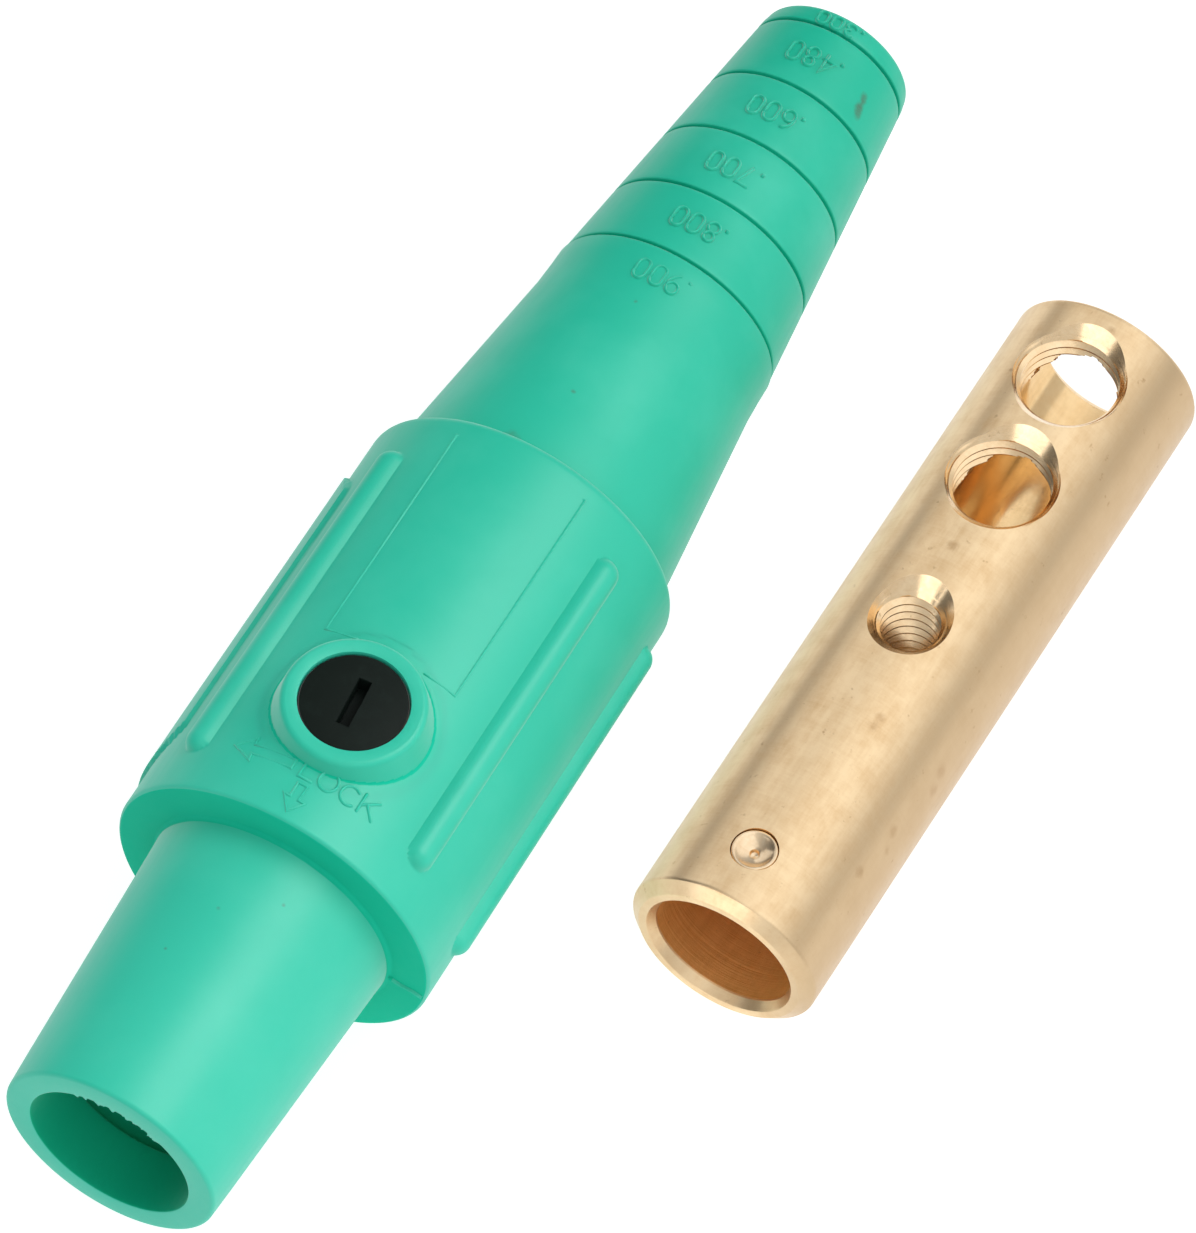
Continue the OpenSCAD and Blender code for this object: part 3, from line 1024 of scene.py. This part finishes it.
    def sign(self, text: str, x: float, arc_at: float, pitch: float, high: float, wide: float, outward: bool,
             rise: float = 1.0) -> list[Patch]:
        """Raises a word or number.

        Args:
            text: signs to raise.
            x: middle of the signs along X.
            arc_at: arc length of the first sign's middle.
            pitch: distance from sign to sign.
            high: height of a sign.
            wide: width of a sign.
            outward: whether the text runs toward the contact with its tops to the cable end.
            rise: height of the ridges as a share of the usual one.

        Returns:
            One ridge per stroke.
        """
        way = 1.0 if outward else -1.0
        out: list[Patch] = []
        at = arc_at
        for letter in text:
            for stroke in SIGNS[letter]:
                line = [(x + way * (v / 2 - 0.5) * high, at + way * (u - 0.5) * wide) for u, v in stroke]
                out.append(self.ridge(line, self.mark_w, self.mark_h * rise))
            at += way * pitch * (0.72 if letter == "." else 1.0)
        return out

    def marks(self) -> list[Patch]:
        """The bare frame, the lock sign with its arrows and the cable sizes."""
        out: list[Patch] = []
        near, far, half = 56.9, 84.97, 8.0
        frame_line = [(near, -4.0), (near, -half), (far, -half), (far, half), (near, half), (near, 4.0)]
        out.append(self.ridge(frame_line, 0.3, 0.16))
        lock = (
            ("L", 40.35, -0.2, 2.25, 1.6, 0.75), ("O", 40.25, 1.95, 2.25, 1.7, 0.75),
            ("C", 40.2, 4.5, 2.25, 1.7, 0.75), ("K", 40.35, 6.95, 2.35, 1.8, 0.7))
        for letter, x, first, high, wide, rise in lock:
            out += self.sign(letter, x, first, 2.0, high, wide, True, rise)
        arrow = [
            (39.65, -2.1), (39.65, -6.9), (38.8, -6.7), (40.15, -9.3), (41.6, -7.2), (40.8, -7.1), (40.8, -2.1)]
        out.append(self.ridge(arrow, 0.32, 0.2, loop=True))
        small = [
            (38.5, -0.6), (36.7, -0.55), (36.75, -1.3), (34.95, 0.05), (36.6, 1.25), (36.6, 0.45), (38.5, 0.5)]
        out.append(self.ridge(small, 0.3, 0.18, loop=True))
        sizes = (
            (".900", 115.75, 3.35), (".800", 124.2, 3.4), (".700", 133.2, 3.0), (".600", 142.65, 3.05),
            (".480", 151.9, 3.1))
        for text, x, first in sizes:
            out += self.sign(text, x, first, 1.95, 2.75, 1.35, False, 1.2)
        out += self.sign(".300", 157.75, 2.85, 1.7, 1.7, 1.15, False)
        return out

    def flash(self) -> Patch:
        """Ragged moulding flash that hangs from the mouth's inner edge."""
        seed = np.random.default_rng(7)
        t = np.radians(np.linspace(-38, 48, 130))
        reach = np.convolve(seed.random(t.size + 8), np.ones(5) / 5, "valid")[: t.size]
        fade = np.clip(np.minimum(t - t[0], t[-1] - t) / 0.25, 0, 1)
        long = (0.12 + 0.7 * np.clip((reach - 0.38) * 3.2, 0, 1)) * fade
        x = 0.16 + 0.05 * np.sin(t * 9)
        root = self.mouth_r + 0.2
        rows = (
            about_x(x - 0.06, root, t), about_x(x + 0.05, self.mouth_r - long, t), about_x(x + 0.5, root, t))
        return Patch.grid(np.array(rows), closed=False)

    def dress(self, piece: bpy.types.Object, other: bpy.types.Material,
              places: Callable[[np.ndarray, np.ndarray, np.ndarray], np.ndarray]) -> None:
        """Gives some faces of a piece a second material.

        Args:
            piece: the piece, whose points are in metres.
            other: the second material.
            places: takes each face's distance along X and radius in millimetres and its turn in degrees,
                and tells which faces get it.
        """
        mesh = piece.data
        mesh.materials.append(other)
        index = np.empty(len(mesh.polygons), dtype=np.int32)
        mesh.polygons.foreach_get("material_index", index)
        x, y, z = read(mesh.polygons, "center").T / MM
        chosen = places(x, np.hypot(y, z), np.degrees(np.arctan2(-y, z)))
        mesh.polygons.foreach_set("material_index", np.where(chosen, len(mesh.materials) - 1, index).tolist())

    def in_creases(self, x: np.ndarray, r: np.ndarray, turn: np.ndarray) -> np.ndarray:
        """Tells which faces are the collar's face or the foot of a rib or of the boss, which get the painted crease
        shade.
        """
        straight = (x > self.rib_start + self.rib_w / 2) & (x < self.rib_start + self.rib_len - self.rib_w / 2)
        rise = r - self.body_radius(x)
        foot = (rise > 0.015) & (rise < 0.2) & (np.abs(turn - self.panel_turn) > 34)
        return (x < self.nose_len + 0.05) | (straight & foot)

    def in_mouth(self, x: np.ndarray, r: np.ndarray, turn: np.ndarray) -> np.ndarray:
        """Tells which faces are inside the mouth, which get the painted hollow shade."""
        return r < self.mouth_r + 0.05

    def in_nose_root(self, x: np.ndarray, r: np.ndarray, turn: np.ndarray) -> np.ndarray:
        """Tells which faces are in the corner between the nose and the collar, which get the painted crease shade."""
        return (x > self.nose_len - 0.48) & (r < self.nose_root_r + 0.7)

    def in_cable_end(self, x: np.ndarray, r: np.ndarray, turn: np.ndarray) -> np.ndarray:
        """Tells which faces are inside the cable's opening, which get the painted hollow shade."""
        return r < self.bores[-1] + 0.2

    def in_grooves(self, x: np.ndarray, r: np.ndarray, turn: np.ndarray) -> np.ndarray:
        """Tells which faces are down in the cutting rings, which get the painted crease shade."""
        slope = (self.tip_r - self.ring_r) / (self.length - self.ring_start)
        return (x > self.ring_start - 1) & (x < self.length - 1) & (r < self.ring_r + slope * (x - self.ring_start) - 0.15)

    def parting(self) -> Patch:
        """The mould's parting line across the collar's face, on the contact's side."""
        turn = math.radians(self.parting_turn)
        r = np.linspace(self.nose_root_r + 0.35, self.front_r - 0.4, 12)
        across = np.array([-0.55, -0.1, 0.0, 0.12, 0.2])
        rise = np.array([-0.02, 0.2, 0.34, 0.24, -0.02])
        wave = 0.08 * np.sin(r * 2.3)
        t = turn - (across[:, None] + wave) / r
        return Patch.grid(about_x(self.nose_len - rise[:, None], r, t), closed=False)

    def build(self) -> None:
        """Builds the sleeve's pieces and dresses them."""
        spots = (
            Spot((149.4, -6.95, 7.2), 1.1, 0.4), Spot((150.1, -6.8, 7.2), 1.2, 0.55),
            Spot((150.8, -6.65, 7.15), 1.2, 0.55), Spot((151.5, -6.5, 7.1), 1.1, 0.5),
            Spot((152.1, -6.35, 7.05), 1.0, 0.4), Spot((97.0, 0.2, 15.7), 0.6, 0.5),
            Spot((111.4, 0.4, 14.0), 0.5, 0.5), Spot((87.9, 3.0, 16.3), 2.0, 0.35),
            Spot((24.0, 1.5, 13.4), 0.45, 0.5), Spot((17.5, 4.0, 12.7), 0.4, 0.5),
            Spot((28.0, -4.0, 13.2), 0.4, 0.4))
        skin = Elastomer(spots=spots).build()
        # The collar's face, the nose's root, the feet of the ribs and the boss and the rings' grooves get painted
        # shade: a deeper, darker green with almost no sheen
        crease = Elastomer(
            name="tpe_crease_shade", front="0fc09d", rear="04a284", pale="20c5a2", roughness=0.75, gloss=0.12).build()
        # The mouth, the bore and the cable end's opening get painted shade: a still darker green
        deep = Elastomer(
            name="tpe_hollow_shade", front="02a982", rear="028565", pale="08ac87", roughness=0.7, gloss=0.15).build()
        # Each piece with its first material, the angle of its sharp edges and its other materials' places
        pieces = (
            ("sleeve_body", [self.body_patch(), self.boss_patch()], skin, 32.0, [(crease, self.in_creases)]),
            ("sleeve_nose", [turned(self.nose_outline(), self.facets, flip=True), self.parting()], skin, 32.0,
             [(deep, self.in_mouth), (crease, self.in_nose_root)]),
            ("sleeve_cone", [turned(self.cone_outline(), 288, flip=True)], skin, 50.0,
             [(deep, self.in_cable_end), (crease, self.in_grooves)]),
            ("sleeve_bore", [self.bore_patch()], deep, 32.0, []),
            ("sleeve_marks", self.marks(), skin, 75.0, []),
            ("sleeve_flash", [self.flash()], skin, 60.0, []))
        for name, patches, material, sharp, others in pieces:
            piece = make_piece(name, patches, material, sharp)
            for other, places in others:
                self.dress(piece, other, places)
            attach(piece, Body.ROOT, Slot.SLEEVE, "insulating_sleeve")
            # The photograph's brass doesn't mirror the sleeve, because each part was lit by itself
            piece.visible_glossy = name == "sleeve_flash"


@dataclass
class RetainingScrew:
    """The plastic screw in the boss, with a closed driver slot."""

    x: float = 48.9
    head_r: float = 5.8
    top: float = 20.494
    seat: float = 14.494
    shank_r: float = 3.92
    shank_len: float = 13.2
    pitch: float = 1.411
    slot_len: float = 5.9
    slot_w: float = 1.45
    slot_depth: float = 2.2
    slot_turn: float = 5.0

    def face_patch(self) -> Patch:
        """The head's flat top with the slot sunk into it."""
        n, edge = 96, 0.28
        t = np.linspace(0, 2 * np.pi, n, endpoint=False)
        hl, hw, turn = self.slot_len / 2, self.slot_w / 2, math.radians(self.slot_turn)
        limit = np.minimum(hl / np.maximum(np.abs(np.cos(t)), 1e-9), hw / np.maximum(np.abs(np.sin(t)), 1e-9))
        # Points of the slot's edge at even angles, with its corners hit exactly
        corner = math.atan2(hw, hl)
        for a in (corner, np.pi - corner, np.pi + corner, 2 * np.pi - corner):
            i = int(np.argmin(np.abs(t - a)))
            limit[i] = math.hypot(hl, hw)
            t[i] = a
        ring = np.stack([np.cos(t), np.sin(t)], axis=-1)
        spin = np.array([[math.cos(turn), math.sin(turn)], [-math.sin(turn), math.cos(turn)]])
        floor = self.top - self.slot_depth
        levels: list[tuple[Any, float]] = [(np.zeros(n), floor)]
        levels += [(limit * (1 + grow / limit), z) for grow, z in (
            (0.0, floor), (0.0, self.top - 0.05), (0.04, self.top))]
        levels += [(np.full(n, r), z) for r, z in (
            (self.head_r - edge, self.top), (self.head_r - edge * 0.3, self.top - edge * 0.3),
            (self.head_r, self.top - edge), (self.head_r, self.seat + 0.3), (self.head_r - 0.3, self.seat),
            (self.shank_r - 0.7, self.seat))]
        rows = [np.column_stack([(ring * r[:, None]) @ spin, np.full(n, z)]) for r, z in levels]
        return Patch.grid(np.array(rows), flip=True)

    def build(self) -> None:
        """Builds the screw and dresses it."""
        low, high, chamfer, root = self.seat - self.shank_len, self.seat, 0.8, self.shank_r - 0.75
        shank = thread(low + chamfer, high, root, self.shank_r, self.pitch, 64)
        end = turned([(low, 0.0), (low, self.shank_r - 1.1), (low + chamfer, root)], 64, upright=True, flip=True)
        place = Matrix.Translation((self.x, 0.0, 0.0))
        piece = make_piece("screw_moulding", [self.face_patch(), shank, end], Nylon().build(), place=place)
        attach(piece, Body.SCREW, Slot.SCREW, "retaining_screw")


@dataclass(frozen=True)
class Hole:
    """A round hole in the contact's top."""

    x: float
    radius: float
    sink_r: float
    low: float
    pitch: float
    crest: float


def outward(p: np.ndarray, axis: np.ndarray, origin: np.ndarray) -> np.ndarray:
    """Unit direction from an axis to a point.

    Args:
        p: the point.
        axis: the axis's unit direction.
        origin: a point on the axis.

    Returns:
        The direction.
    """
    d = p - origin
    d = d - axis * (d @ axis)
    return d / max(np.linalg.norm(d), 1e-6)


@dataclass
class Contact:
    """The turned brass contact with its threaded holes and its cam pin."""

    x: float = 57.6
    gap: float = 41.2
    z: float = -8.925
    turn: float = -4.9
    yaw: float = -1.0
    radius: float = 11.1
    length: float = 87.2
    socket_r: float = 8.15
    socket_depth: float = 33.0
    bore_r: float = 7.15
    bore_depth: float = 34.5
    sink_angle: float = 82.0
    pin_x: float = 7.6
    pin_r: float = 2.6
    pin_reach: float = 2.4
    holes: tuple[Hole, ...] = (
        Hole(41.7, 3.97, 5.3, -2.6, 1.411, 3.25), Hole(62.3, 6.05, 7.15, 0.0, 1.27, 5.4),
        Hole(77.6, 6.05, 7.15, 0.0, 1.27, 5.4))
    facets: int = 256

    def place(self) -> Matrix:
        """Lays the contact from its own axis to its place beside the sleeve, in millimetres."""
        spin = Matrix.Rotation(math.radians(self.yaw), 4, "Z") @ Matrix.Rotation(math.radians(self.turn), 4, "X")
        return Matrix.Translation((self.x, -self.gap, self.z)) @ spin

    def outline(self) -> Outline:
        """Closed outline of the turned bar, from the socket's floor round the outside to the conductor bore."""
        r, n = self.radius, self.length
        tip = self.bore_r / math.tan(math.radians(59))
        floor = n - self.bore_depth
        return (
            [(self.socket_depth + 0.6, 0.01), (self.socket_depth + 0.6, self.socket_r - 2.5)]
            + [(self.socket_depth, self.socket_r)]
            + [(x, self.socket_r) for x in (26.0, 18.0, 10.0, 4.0)]
            + [(1.3, self.socket_r), (1.1, self.socket_r + 0.05)] + arc((0.25, self.socket_r + 0.8), 0.25, 225, 180, 3)
            + arc((0.3, r - 1.5), 0.3, 180, 130, 3) + arc((1.5, r - 0.7), 0.7, 125, 90, 4)
            + [(x, r) for x in (12.0, 20.0, 30.0, 36.0, 46.0, 52.0, 56.0, 60.0, 64.0, 68.0, 72.0, 76.0, 80.0)]
            + arc((n - 0.6, r - 0.6), 0.6, 90, 0, 4)
            + [(n, self.bore_r + 0.7), (n - 0.7, self.bore_r)] + [(x, self.bore_r) for x in (80.0, 72.0, 64.0, 56.0)]
            + [(floor, self.bore_r), (floor - tip, 0.01)]
        )

    def countersink(self, hole: Hole) -> tuple[float, float]:
        """Height at which a hole's countersink starts, and its widening per height."""
        slope = math.tan(math.radians(self.sink_angle / 2))
        return self.radius - (hole.sink_r - hole.radius) / slope, slope

    def cutter(self, hole: Hole) -> Patch:
        """Drill and countersink of one hole as a closed form."""
        sink, slope = self.countersink(hole)
        over, axis = 1.5, 0.01
        top = self.radius + over
        outline = [
            (hole.low, axis), (hole.low, hole.radius), (sink, hole.radius), (top, hole.sink_r + over * slope),
            (top, axis)]
        return turned(outline, 128, upright=True, shut=True, centre=hole.x)

    def cut(self, bar: bpy.types.Object, tool: bpy.types.Object) -> None:
        """Cuts one form out of the bar and removes the tool."""
        change = bar.modifiers.new("cut", "BOOLEAN")
        change.operation, change.solver, change.object = "DIFFERENCE", "EXACT", tool
        bpy.context.view_layer.update()
        result = bpy.data.meshes.new_from_object(bar.evaluated_get(bpy.context.evaluated_depsgraph_get()))
        bar.modifiers.clear()
        old = bar.data
        bar.data = result
        bpy.data.meshes.remove(old)
        bpy.data.objects.remove(tool)

    def true_normals(self, mesh: bpy.types.Mesh) -> None:
        """Shades every face as the round form it was cut from.

        Args:
            mesh: the bar in its own axes, in metres.
        """
        face, centre = read(mesh.polygons, "normal"), read(mesh.polygons, "center") / MM
        co = read(mesh.vertices, "co") / MM
        normals = np.empty((len(mesh.loops), 3))
        cutters = [(h.x, h.sink_r) for h in self.holes] + [(self.pin_x, self.pin_r)]
        for i, poly in enumerate(mesh.polygons):
            ring = co[list(poly.vertices)]
            reach = np.hypot(ring[:, 1], ring[:, 2])
            skin = any(np.all(np.abs(reach - r) < 0.02) for r in (self.radius, self.socket_r, self.bore_r))
            axis, origin = np.array([1.0, 0.0, 0.0]), np.zeros(3)
            if not skin:
                for x, wide in cutters:
                    if centre[i, 2] > -3 and math.hypot(centre[i, 0] - x, centre[i, 1]) < wide + 0.05:
                        axis, origin = np.array([0.0, 0.0, 1.0]), np.array([x, 0.0, 0.0])
            level, away = face[i] @ axis, face[i] @ outward(centre[i], axis, origin)
            for k, p in zip(poly.loop_indices, ring):
                v = axis * level + outward(p, axis, origin) * away
                normals[k] = v / max(np.linalg.norm(v), 1e-6) if abs(level) < 0.999 else face[i]
        mesh.normals_split_custom_set(normals.tolist())

    def dress_bores(self, bar: bpy.types.Object) -> None:
        """Gives the drilled faces inside the bar their own finish."""
        finishes = (
            Brass(name="brass_drilled", clean="f6bd74", tarnish="cf8f44", stain="7c4c22", roughness=0.45,
                  ring_mm=0.6, ring_depth_mm=0.12, bare=0.55, side_shade_tone="dba055", yaw=self.yaw),
            Brass(name="brass_bored", clean="f4d3a0", tarnish="dfb47a", roughness=0.17,
                  ring_mm=0.6, bare=0.92, side_shade_tone="efc98f", yaw=self.yaw),
            Brass(name="brass_cut", clean="fadfb6", tarnish="e3bb88", roughness=0.2,
                  side_shade_tone="f0cd9c", yaw=self.yaw))
        for finish in finishes:
            bar.data.materials.append(finish.build())
        co, near_enough = read(bar.data.vertices, "co") / MM, 0.02
        reach, along = np.hypot(co[:, 1], co[:, 2]), co[:, 0]
        for poly in bar.data.polygons:
            ring = list(poly.vertices)
            far, near = reach[ring].max(), reach[ring].min()
            x, y, z = (v / MM for v in poly.center)
            socket = along[ring].max() < self.socket_depth + 0.7 and far < self.socket_r + near_enough
            bore = (along[ring].min() > self.socket_depth + 5 and far < self.bore_r + near_enough
                    and (near > self.bore_r - near_enough or near < 0.1))
            sunk = z > 5 and far > self.bore_r + 0.1 and any(
                math.hypot(x - h.x, y) < h.sink_r - near_enough and near < self.radius - 0.05 for h in self.holes)
            poly.material_index = 1 if socket else 2 if bore else 3 if sunk else 0

    def build_bar(self, brass: bpy.types.Material) -> None:
        """Builds the bar with its holes."""
        bar = make_piece("contact_bar", [turned(self.outline(), self.facets, flip=True, shut=True)], brass)
        tools = [self.cutter(h) for h in self.holes]
        low, high, axis = 4.0, 12.5, 0.01
        pin = turned([(low, axis), (low, self.pin_r), (high, self.pin_r), (high, axis)], 96, upright=True, shut=True,
                     centre=self.pin_x)
        for patch in tools + [pin]:
            self.cut(bar, make_piece("tool", [patch], brass))
        self.dress_bores(bar)
        self.true_normals(bar.data)
        lay = self.place()
        lay.translation = lay.translation * MM
        bar.data.transform(lay)
        attach(bar, Body.ROOT, Slot.CONTACT, "contact_body")

    def build_threads(self, brass: bpy.types.Material) -> None:
        """Lines the three holes with their threads."""
        clear, over = 0.02, 0.25
        t = np.linspace(0, 2 * np.pi, 145)
        for i, hole in enumerate(self.holes):
            sink, slope = self.countersink(hole)
            low: Any = hole.low + 0.05
            if i:
                low = np.sqrt(self.bore_r**2 - (hole.radius * np.sin(t)) ** 2) + clear
            patch = thread(low, sink + over, hole.radius + clear, hole.crest, hole.pitch, len(t) - 1, hole.x,
                           (sink, hole.radius, slope), self.bore_r if i else 0.0)
            piece = make_piece(f"contact_thread_{i}", [patch], brass, 40.0, self.place())
            attach(piece, Body.ROOT, Slot.CONTACT, "contact_body")

    def build_pin(self) -> None:
        """Builds the pressed cam pin with its dished end."""
        top, low = self.radius - 0.25, self.socket_r - self.pin_reach
        outline = [(low, 0.01), (low, self.pin_r - 0.35)] + arc((low + 0.35, self.pin_r - 0.35), 0.35, 180, 90, 4)
        outline += [(top - 0.25, self.pin_r - 0.04), (top - 0.08, self.pin_r - 0.12), (top, self.pin_r - 0.22), (top, 2.24)]
        outline += [(top - 0.75 * (1 - (r / 2.2) ** 2.2), r) for r in (2.15, 2.0, 1.8, 1.5, 1.2, 0.9, 0.7)]
        outline += [(top - 0.78, 0.55), (top - 1.2, 0.42), (top - 1.3, 0.01)]
        patch = turned(outline, 72, upright=True, centre=self.pin_x)
        finish = Brass(name="brass_pin", clean="f7dfbc", tarnish="e0b888", roughness=0.2, yaw=self.yaw)
        piece = make_piece("pin_end", [patch], finish.build(), 40.0, self.place())
        attach(piece, Body.ROOT, Slot.PIN, "cam_pin")

    def build(self) -> None:
        """Builds the contact's pieces and dresses them."""
        spots = (
            Spot((85.1, -44.0, 1.9), 1.3, 0.3), Spot((86.3, -44.2, 1.9), 1.2, 0.25),
            Spot((109.2, -40.9, 2.1), 1.3, 0.35), Spot((77.6, -51.0, -3.1), 1.3, 0.25),
            Spot((85.2, -52.0, -4.9), 1.5, 0.22), Spot((70.9, -50.4, -2.4), 1.2, 0.3),
            Spot((75.5, -51.4, -3.8), 1.1, 0.25), Spot((87.4, -51.7, -4.2), 1.6, 0.2),
            Spot((122.7, -44.6, 1.9), 1.4, 0.3), Spot((114.7, -43.9, 2.0), 1.6, 0.3),
            Spot((142.5, -42.9, 2.2), 1.0, 0.3))
        brass = Brass(yaw=self.yaw, spots=spots).build()
        self.build_bar(brass)
        self.build_threads(bpy.data.materials["brass_cut"])
        self.build_pin()


def main() -> None:
    """Builds the scene in order."""
    logging.basicConfig(level=logging.INFO, format="%(name)s: %(message)s")
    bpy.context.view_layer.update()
    Studio().build()
    Sleeve().build()
    RetainingScrew().build()
    Contact().build()


if __name__ == "__main__":
    main()
